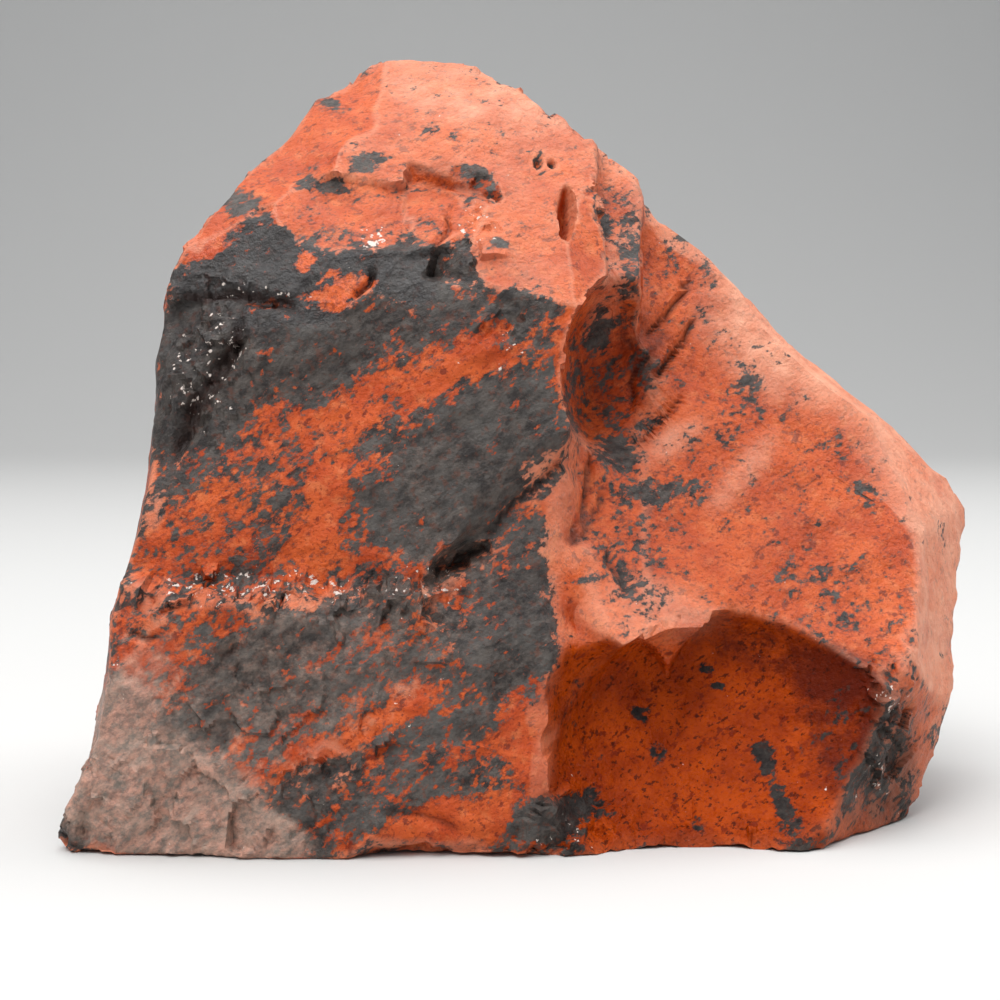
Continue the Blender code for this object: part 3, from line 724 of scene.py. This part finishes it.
def hangTongue(points, label):
    # half width grows with height to the power of its taper; it stays behind the faces above and beside it
    rise = np.clip((points[:, 2] - tongue["tip"][1]) / tongue["height"], 0.0, tongue["tallest"])
    middle = tongue["tip"][0] + tongue["slant"] * rise
    half = tongue["half"] * rise ** tongue["taper"]
    share = np.clip((half - np.abs(points[:, 0] - middle)) / tongue["soft"] + 0.5, 0.0, 1.0)
    share *= facesNamed(label, ("scoop", "scoopLeft")) & (rise > 0.0)
    low, high = tongue["proud"]
    forward = points[:, 1] - share * (low + rise * (high - low))
    point, bearing, tilt, radius = hollowFace
    centre = np.array(point) + radius * facing(bearing, tilt)
    away = ((points - centre)[:, [0, 2]] ** 2).sum(1)
    above = centre[1] + np.sqrt(np.maximum(radius ** 2 - away, 0.0))
    point, bearing, tilt = outerFaces["front"]
    out = facing(bearing, tilt)
    beside = point[1] - ((points[:, 0] - point[0]) * out[0] + (points[:, 2] - point[2]) * out[2]) / out[1]
    rim = np.maximum(above, beside) + tongue["sunk"]
    points[:, 1] = np.minimum(points[:, 1], np.maximum(forward, rim))
    return share


def pushToe(points):
    # the toe moves out to the left by proud * exp(-(distance / reach)^2)
    away = np.linalg.norm(points - toePoint["place"], axis=1) / toePoint["reach"]
    nearToe = points[:, 0] < toePoint["place"][0] + toePoint["reach"]
    points[:, 0] -= toePoint["proud"] * np.exp(-away ** 2) * nearToe


# the unevenness of broken glass: height and length in millimetres of each kind, and how much of it
# the smooth and the streaky faces have; the ripples spread from where the blow fell
uneven = {
    "grain": (0.16, 2.4), "fineGrain": (0.1, 1.2), "smoothShare": 0.3,
    "smooth": ("scoop", "scoopLeft", "bevel", "cheek", "strip", "neck"),
    "drawn": (0.5, 2.6), "fineDrawn": (0.3, 1.2), "plainShare": 0.25,
    "streaky": ("front", "foot", "broadFace", "fall", "roughCorner"),
    "crushed": (1.0, 5.0), "fineCrushed": (0.35, 2.4), "crushedDrawn": 0.4,
    "unseen": (0.5, 9.0), "unseenBelow": 0.2,
    "wander": (1.4, 4.0), "flowTurn": 36.0, "drawnOut": 0.62,
    "ripple": (0.09, 6.5), "rippleGrows": 0.05, "rippleSways": (3.0, 12.0), "blow": (8.0, -25.0, 20.0),
    "rippled": ("hollowRight", "hollowLeft", "recess"),
}


def swing(points, kind, seed):
    # smooth random height, from minus to plus half of its size
    height, length = uneven[kind]
    return height * (smoothNoise(points, length, seed) - 0.5)


def surfaceRelief(points, label, frontShare):
    # how far the surface stands out along its normal, and how deep the cracks cut: grain, rubble, streaks,
    # flakes, cracks and ripples, each on its own faces
    alongFlow = facing(90.0, uneven["flowTurn"])
    stretched = points - uneven["drawnOut"] * (points @ alongFlow)[:, None] * alongFlow
    shift, length = uneven["wander"]
    wander = points + shift * np.stack([smoothNoise(points, length, 40 + i) - 0.5 for i in range(3)], axis=1)
    relief = swing(points, "grain", 1) + swing(points, "fineGrain", 2)
    relief *= np.where(facesNamed(label, uneven["smooth"]), uneven["smoothShare"], 1.0)
    crushed = np.clip(spotSum(points, rubble), 0.0, 1.0) * frontShare
    partDrawn = (1.0 - uneven["crushedDrawn"]) * wander + uneven["crushedDrawn"] * stretched
    for kind, spots, seed in (("crushed", partDrawn, 3), ("fineCrushed", wander, 4)):
        height, length = uneven[kind]
        relief += crushed * height * flakes(spots, length, seed)
    streaks = swing(stretched, "drawn", 6) + swing(stretched, "fineDrawn", 7)
    relief += np.where(facesNamed(label, uneven["streaky"]), 1.0, uneven["plainShare"]) * streaks
    height, length = uneven["unseen"]
    relief += np.where(frontShare < uneven["unseenBelow"], height, 0.0) * flakes(wander, length, 8)
    cracks = lineRelief(wander, lines) * frontShare
    away = np.linalg.norm(points - uneven["blow"], axis=1)
    height, length = uneven["ripple"]
    sway, swayLength = uneven["rippleSways"]
    phase = away * tau / (length + uneven["rippleGrows"] * away) + sway * smoothNoise(points, swayLength, 9)
    relief += np.where(facesNamed(label, uneven["rippled"]), height, 0.0) * np.sin(phase)
    return relief - cracks, cracks


# how the edges and the run-outs are eased: rounds and the longest link that pulls; how far an edge is felt;
# how far back the front goes; how soon a face turning away stops being front; what the skin keeps clear of
# the solid's box; from which angle an edge is drawn sharp; and how wide its pale rim of painted light is
easing = {"edge": (4, 1.6), "edgeFelt": (2, 6.0), "runOut": (40, 6.0), "frontDepth": 8.0, "frontTurn": 3.0,
          "clear": 0.02, "sharpAngle": 34.0, "rimShare": 1.6}
corners = triangles[:, [0, 1, 1, 2, 2, 0]].reshape(-1, 2)
links = np.unique(np.sort(corners, axis=1), axis=0)
rounds, growth = easing["edgeFelt"]
nearEdge = np.clip(neighbourMean(moved.astype(float), links, count, rounds) * growth, 0.0, 1.0)
points = relax(points, links, nearEdge, *easing["edge"])
runOut = np.clip(spotSum(points, softened), 0.0, 1.0) * (points[:, 1] < easing["frontDepth"])
points = relax(points, links, runOut, *easing["runOut"])
normals = pointNormals(points, triangles, count)
tongueShare = hangTongue(points, label)
pushToe(points)
frontShare = np.clip(-normals[:, 1] * easing["frontTurn"], 0.0, 1.0)
relief, cracks = surfaceRelief(points, label, frontShare)
points = points + normals * relief[:, None]
low, high = (np.array(corner) / mm + boxMiddle for corner in cadBox)
points = np.clip(points, low + easing["clear"], high - easing["clear"])

mesh = bpy.data.meshes.new("stoneSkin")
mesh.from_pydata(((points - boxMiddle) * mm).tolist(), [], triangles.tolist())
mesh.shade_smooth()
mesh.set_sharp_from_angle(angle=math.radians(easing["sharpAngle"]))


def spread(values, rounds=1):
    # a face's value, blended a little with the faces beside it
    return neighbourMean(values, links, count, rounds)


def seenSpots(table):
    # the ovals of a table, on the front only
    return spotSum(points, table) * frontShare


ownDark, ownBloomAndLight, ownGloss = np.array([finish.get(name, finish["plain"]) for name in labels])[label].T
rustShare = facesNamed(label, ("scoop", "scoopLeft")).astype(float)
layers = {
    "darkness": spread(ownDark) + spotSum(points, darkSpots),
    # bloom: scuffed glass, and painted light on the faces lit from above and from the right and along the lip
    "bloom": np.clip(spread(ownBloomAndLight) + seenSpots(scuffAndLightSpots), 0.0, 1.0),
    "gloss": np.clip(spread(ownGloss), 0.0, 1.0),
    "dust": np.clip(spotSum(points, dustSpots), 0.0, 1.0) * frontShare,
    # crushed glass, and a painted highlight on the glossy slope
    "crushedAndHighlight": seenSpots(whiteFleckAndHighlightSpots),
    "rust": np.clip(spread(rustShare) - tongueShare + seenSpots(rustSpots), 0.0, 1.0),
    # wine-red glass, and painted shade where faces lie in shadow
    "maroon": np.clip(spotSum(points, wineAndShadeSpots), 0.0, 1.0) * frontShare,
    # painted light: the edges are paler where light shines through them
    "paintedRimLight": np.clip(spread(moved.astype(float)) * easing["rimShare"], 0.0, 1.0),
    "crack": np.clip(cracks, -1.0, 1.0),
}
for name, values in layers.items():
    mesh.attributes.new(name, "FLOAT", "POINT").data.foreach_set("value", values.astype(np.float32))
stone = bpy.data.objects.new("stoneSkin", mesh)
bpy.context.scene.collection.objects.link(stone)
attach(stone, "root")
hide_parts("mahogany_obsidian")
print("skin shaped")


def addNode(tree, kind, settings=None, inputs=None):
    # a node with its settings, its values, and its links where an input is given another node's socket
    node = tree.nodes.new(kind)
    for name, value in (settings or {}).items():
        setattr(node, name, value)
    for name, value in (inputs or {}).items():
        if isinstance(value, bpy.types.NodeSocket):
            tree.links.new(value, node.inputs[name])
        else:
            node.inputs[name].default_value = value
    return node


# the glass: how its flow turned and drew out the patches, and the strength and depth in millimetres
# of its finest bumps
glass = {
    "flowTurn": -36.0, "flowStretch": (1.55, 1.1, 1.0),
    "bumps": {"grainHeight": (0.9, 0.5), "hackleHeight": (0.8, 0.9)},
    "sockets": {"colour": "Base Color", "roughness": "Roughness", "sheen": "Specular IOR Level"},
}
glassColours = {
    "brick": "#B6420F", "warmBrick": "#CE5A22", "clouded": "#DC8250", "rusty": "#AE4204",
    "deepRust": "#8C2E02", "maroonFleck": "#641806", "brownSpeck": "#7E2408", "darkRim": "#7A2C12",
    "wine": "#541405", "rustSeed": "#3C0E03", "pinkOfScuffAndLight": "#E8A688", "rimLightColour": "#E8AA8C",
    "coal": "#2B2523", "greyCoal": "#5F5751", "ash": "#66635F", "redAsh": "#6E3A26", "black": "#1B1819",
    "tanDust": "#C59A87", "greyDust": "#7A7067", "paleDust": "#CDB2A0", "crackShade": "#24100A",
    "whiteOfCrushAndHighlight": "#DED0C6",
}
# each pattern's size in millimetres, detail, roughness, distortion, and whether the flow drew it out
glassPatterns = {
    "patches": (3.33, 9, 0.68, 0.2, True), "frays": (0.952, 4, 0.6, 0, True),
    "brickClouds": (8.33, 5, 0.6, 0, False), "paleClouds": (2.38, 4, 0.6, 0, False),
    "rustClouds": (6.25, 4, 0.6, 0, False), "flecks": (1.43, 3, 0.6, 0, True),
    "specks": (0.588, 2, 0.6, 0, False), "wineClouds": (2.63, 7, 0.75, 0, False),
    "seeds": (0.8, 3, 0.6, 0, True), "bloomClouds": (5, 5, 0.65, 0, False),
    "coalMottle": (1.61, 6, 0.7, 0, True), "ashClouds": (5.88, 5, 0.6, 0, True),
    "ashSpecks": (1.11, 3, 0.6, 0, False), "dustMottle": (1.11, 6, 0.7, 0, True),
    "dustClouds": (4.76, 4, 0.6, 0, False), "dustFrays": (2.38, 8, 0.7, 0, False),
    "glints": (1.25, 3, 0.6, 0, False), "glossClouds": (3.33, 4, 0.6, 0, False),
    "grainHeight": (0.909, 5, 0.65, 0, False), "hackleHeight": (2.38, 5, 0.6, 0, True),
}
# what each kind of mixing is made with: its node, its settings and its inputs in order
mixers = {
    "ramp": ("ShaderNodeMapRange", {"interpolation_type": "SMOOTHSTEP"}, ("Value", "From Min", "From Max")),
    "mix": ("ShaderNodeMixRGB", None, ("Fac", "Color1", "Color2")),
    "times": ("ShaderNodeMath", {"operation": "MULTIPLY"}, (0, 1)),
    "plus": ("ShaderNodeMath", {"operation": "ADD"}, (0, 1)),
    "less": ("ShaderNodeMath", {"operation": "SUBTRACT"}, (0, 1)),
}
# how the glass is mixed, in order: each row makes one value or colour from patterns, layers and earlier rows
mixture = (
    # charcoal: frayed soft-edged patches and peppering from under 1 to 8 mm, more where darkness says
    ("amount", ("plus", ("plus", "patches", ("times", "frays", 0.75)), ("times", "darkness", 0.8))),
    ("dark", ("ramp", "amount", 0.835, 0.925)),
    # red glass: brick with paler and deeper clouds, rust in the scoop, dark red flecks under a millimetre,
    # and wine red that is also painted shade where faces lie in shadow
    ("red", ("mix", ("ramp", "brickClouds", 0.35, 0.65), "brick", "warmBrick")),
    ("red", ("mix", ("times", ("ramp", "paleClouds", 0.5, 0.7), 0.4), "red", "clouded")),
    ("red", ("mix", "rust", "red", ("mix", ("ramp", "rustClouds", 0.35, 0.7), "rusty", "deepRust"))),
    ("red", ("mix", ("times", ("ramp", "flecks", 0.59, 0.66), 0.75), "red", "maroonFleck")),
    ("red", ("mix", ("times", ("ramp", "specks", 0.56, 0.66), 0.6), "red", "brownSpeck")),
    ("red", ("mix", ("times", ("ramp", "amount", 0.74, 0.86), 0.45), "red", "darkRim")),
    # wine red: the glass's own clouds, and painted shade where faces lie in shadow
    ("red", ("mix", ("times", ("ramp", ("plus", "maroon", "wineClouds"), 0.68, 1.12), 0.88), "red", "wine")),
    ("seed", ("times", ("ramp", "seeds", 0.585, 0.64), "rust")),
    ("red", ("mix", ("times", "seed", 0.8), "red", "rustSeed")),
    # bloom: the pink of scuffed red glass, also painted light on the faces lit from above and from the right;
    # and painted light on the pale edges that light shines through
    ("scuffed", ("plus", ("times", ("ramp", "bloomClouds", 0.3, 0.7), 0.5), 0.4)),
    ("red", ("mix", ("times", "bloom", "scuffed"), "red", "pinkOfScuffAndLight")),
    ("red", ("mix", ("times", "paintedRimLight", ("less", 0.34, ("times", "rust", 0.3))), "red", "rimLightColour")),
    # charcoal glass: near black where glossy, mottled brown and grey where matt, with faint red specks
    ("charcoal", ("mix", ("ramp", "coalMottle", 0.36, 0.66), "coal", "greyCoal")),
    ("charcoal", ("mix", ("times", ("ramp", "ashClouds", 0.45, 0.7), 0.55), "charcoal", "ash")),
    ("charcoal", ("mix", ("times", ("ramp", "ashSpecks", 0.53, 0.66), 0.5), "charcoal", "redAsh")),
    ("charcoal", ("mix", ("times", "gloss", 0.75), "charcoal", "black")),
    ("colour", ("mix", "dark", "red", "charcoal")),
    # dust: tan and grey mottle of a weathered face
    ("mottle", ("mix", ("ramp", "dustMottle", 0.34, 0.64), "tanDust", "greyDust")),
    ("mottle", ("mix", ("times", ("ramp", "dustClouds", 0.45, 0.75), 0.5), "mottle", "paleDust")),
    ("dusty", ("ramp", ("plus", "dust", ("times", "dustFrays", 0.8)), 0.6, 1.15)),
    ("colour", ("mix", ("times", "dusty", 0.85), "colour", "mottle")),
    # cracks: dark where they cut in; crushed glass: white flecks on broken ledges, with painted glints, and a
    # painted highlight on the glossy slope
    ("colour", ("mix", ("times", ("ramp", "crack", 0.35, 1.1), 0.75), "colour", "crackShade")),
    ("white", ("ramp", ("plus", "glints", ("times", "crushedAndHighlight", 0.14)), 0.74, 0.78)),
    ("colour", ("mix", "white", "colour", "whiteOfCrushAndHighlight")),
    # gloss: from dull scuffed faces at 0.6 to wet-looking fresh glass at 0.2; rusty glass shines less
    ("dull", ("plus", ("times", ("less", 1.0, "gloss"), 0.38), ("times", "glossClouds", 0.24))),
    ("roughness", ("plus", "dull", 0.1)),
    ("sheen", ("less", 0.32, ("times", "rust", 0.22))),
)


def obsidianMaterial():
    # mahogany obsidian, a volcanic glass, as it broke: brick red, with charcoal patches drawn out by the flow
    material = bpy.data.materials.new("mahoganyObsidianBroken")
    material.use_nodes = True
    tree = material.node_tree
    shader = tree.nodes["Principled BSDF"]
    place = addNode(tree, "ShaderNodeTexCoord").outputs["Object"]
    turned = {"Vector": place, "Rotation": (0.0, math.radians(glass["flowTurn"]), 0.0),
              "Scale": glass["flowStretch"]}
    flow = addNode(tree, "ShaderNodeMapping", {"vector_type": "TEXTURE"}, turned).outputs[0]
    made = {}
    for name in layers:
        made[name] = addNode(tree, "ShaderNodeAttribute", {"attribute_name": name}).outputs["Fac"]
    for name, code in glassColours.items():
        made[name] = linearColour(code)
    for name, (size, detail, rough, warp, drawnOut) in glassPatterns.items():
        pattern = {"Vector": flow if drawnOut else place, "Scale": 1.0 / (size * mm), "Detail": detail,
                   "Roughness": rough, "Distortion": warp}
        made[name] = addNode(tree, "ShaderNodeTexNoise", None, pattern).outputs["Fac"]

    def mixed(part):
        # a row's part: a name, a number, or a mixing of further parts
        if not isinstance(part, tuple):
            return made.get(part, part)
        node, settings, sockets = mixers[part[0]]
        inputs = {socket: mixed(piece) for socket, piece in zip(sockets, part[1:])}
        return addNode(tree, node, settings, inputs).outputs[0]

    for name, part in mixture:
        made[name] = mixed(part)
    for name, socket in glass["sockets"].items():
        tree.links.new(made[name], shader.inputs[socket])
    bump = None
    for name, (strength, depth) in glass["bumps"].items():
        inputs = {"Strength": strength, "Distance": depth * mm, "Height": made[name]}
        if bump:
            inputs["Normal"] = bump
        bump = addNode(tree, "ShaderNodeBump", None, inputs).outputs[0]
    tree.links.new(bump, shader.inputs["Normal"])
    return material


mesh.materials.append(obsidianMaterial())
print("stone finished")

# floor and light in metres, the camera's lens and place in millimetres: the floor runs flat under the stone
# and curves up far behind it
studio = {
    "halfWidth": 1.6, "columns": 9, "front": -1.6, "flatEnd": 0.8, "bendStart": 0.9, "bend": 0.8,
    "flatRows": 13, "bendRows": 25, "wallPlace": 1.7, "wallTop": 2.4, "floorColour": "#C9C8C6",
    "floorRoughness": 0.8, "airColour": "#DDE3EA", "airStrength": 0.34,
    "skyPanel": ((-0.12, -0.06, 1.1), (0.0, -4.0, 0.0), 1.3, 19.0),
    "frontPanel": ((-0.35, -0.75, 0.95), (38.0, 0.0, -25.0), 0.6, 7.0),
    "sidePanel": ((0.9, 0.25, 0.55), (0.0, 62.0, 15.5), 0.5, 4.0),
    "lens": 64.8, "sensor": 36.0, "eye": (-1.0, -303.0, 77.0), "lookDown": 5.0,
}


def buildFloor():
    # a sheet x across and y back, level up to the bend, then a quarter circle of y = sin, z = 1 - cos
    across = np.linspace(-studio["halfWidth"], studio["halfWidth"], studio["columns"])
    turn = np.linspace(0.0, math.pi / 2.0, studio["bendRows"])
    level = np.linspace(studio["front"], studio["flatEnd"], studio["flatRows"])
    bend = studio["bend"]
    y = np.concatenate([level, studio["bendStart"] + bend * np.sin(turn), [studio["wallPlace"]]])
    z = np.concatenate([np.zeros(len(level)), bend - bend * np.cos(turn), [studio["wallTop"]]])
    x, row = np.meshgrid(across, np.arange(len(y)))
    spots = np.stack([x, y[row], z[row]], axis=-1).reshape(-1, 3)
    wide = len(across)
    first = (np.arange(len(y) - 1)[:, None] * wide + np.arange(wide - 1)).ravel()
    quads = np.stack([first, first + 1, first + wide + 1, first + wide], axis=1)
    sheet = bpy.data.meshes.new("paleFloor")
    sheet.from_pydata(spots.tolist(), [], quads.tolist())
    sheet.shade_smooth()
    floor = bpy.data.objects.new("paleFloor", sheet)
    bpy.context.scene.collection.objects.link(floor)
    matte = bpy.data.materials.new("mattePaintedFloor")
    matte.use_nodes = True
    paint = matte.node_tree.nodes["Principled BSDF"].inputs
    paint["Base Color"].default_value = linearColour(studio["floorColour"])
    paint["Roughness"].default_value = studio["floorRoughness"]
    sheet.materials.append(matte)


def buildLight():
    # an even pale air and three soft panels: above, in front to the left, and far right
    world = bpy.data.worlds.new("studioAir")
    bpy.context.scene.world = world
    world.use_nodes = True
    air = world.node_tree.nodes["Background"].inputs
    air["Color"].default_value = linearColour(studio["airColour"])
    air["Strength"].default_value = studio["airStrength"]
    for name in ("skyPanel", "frontPanel", "sidePanel"):
        place, turn, size, power = studio[name]
        light = bpy.data.lights.new(name, "AREA")
        light.size = size
        light.energy = power
        lamp = bpy.data.objects.new(name, light)
        lamp.location = place
        lamp.rotation_euler = [math.radians(v) for v in turn]
        bpy.context.scene.collection.objects.link(lamp)


def buildCamera():
    # it stands in front of the stone's upper half and looks a little down
    camera = bpy.data.cameras.new("camera")
    camera.lens = studio["lens"]
    camera.sensor_width = studio["sensor"]
    view = bpy.data.objects.new("camera", camera)
    view.location = tuple((np.array(studio["eye"]) - boxMiddle) * mm)
    view.rotation_euler = (math.radians(90.0 - studio["lookDown"]), 0.0, 0.0)
    bpy.context.scene.collection.objects.link(view)
    bpy.context.scene.camera = view


buildFloor()
buildLight()
buildCamera()
bpy.context.scene.view_settings.view_transform = "Standard"
